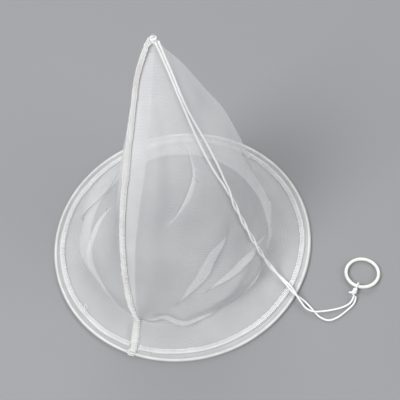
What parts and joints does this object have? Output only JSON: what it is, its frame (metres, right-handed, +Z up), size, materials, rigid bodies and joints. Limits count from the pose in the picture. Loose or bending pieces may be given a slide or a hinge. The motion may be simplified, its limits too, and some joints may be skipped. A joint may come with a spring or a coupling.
{
  "type": "conical sieve",
  "caption": "Cone of fine nylon mesh standing on a cased wire hoop, with an overlocked side seam and a doubled pull cord to a finger ring.",
  "frame": {"origin": "on the ground, under the centre of the hoop", "axes": "+Z up from the hoop to the tip, the camera of the picture on the -Y side and the finger ring towards +X"},
  "size_m": [0.303, 0.2494, 0.2681],
  "materials": {
    "mesh": "translucent white woven monofilament",
    "wire": "smooth white coating",
    "thread": "matt white overlock thread",
    "seam_thread": "matt off-white overlock thread",
    "cord": "soft white twisted cord",
    "ring": "satin cream white"
  },
  "bodies": {
    "root": {"mesh_cone": "mesh", "wire_hoop": "wire", "hem_stitching": "thread", "seam_stitching": "seam_thread", "tip_tie": "cord", "pull_ring": "ring", "ring_knot": "cord", "cord_left": "cord", "cord_right": "cord"}
  },
  "joints": []
}
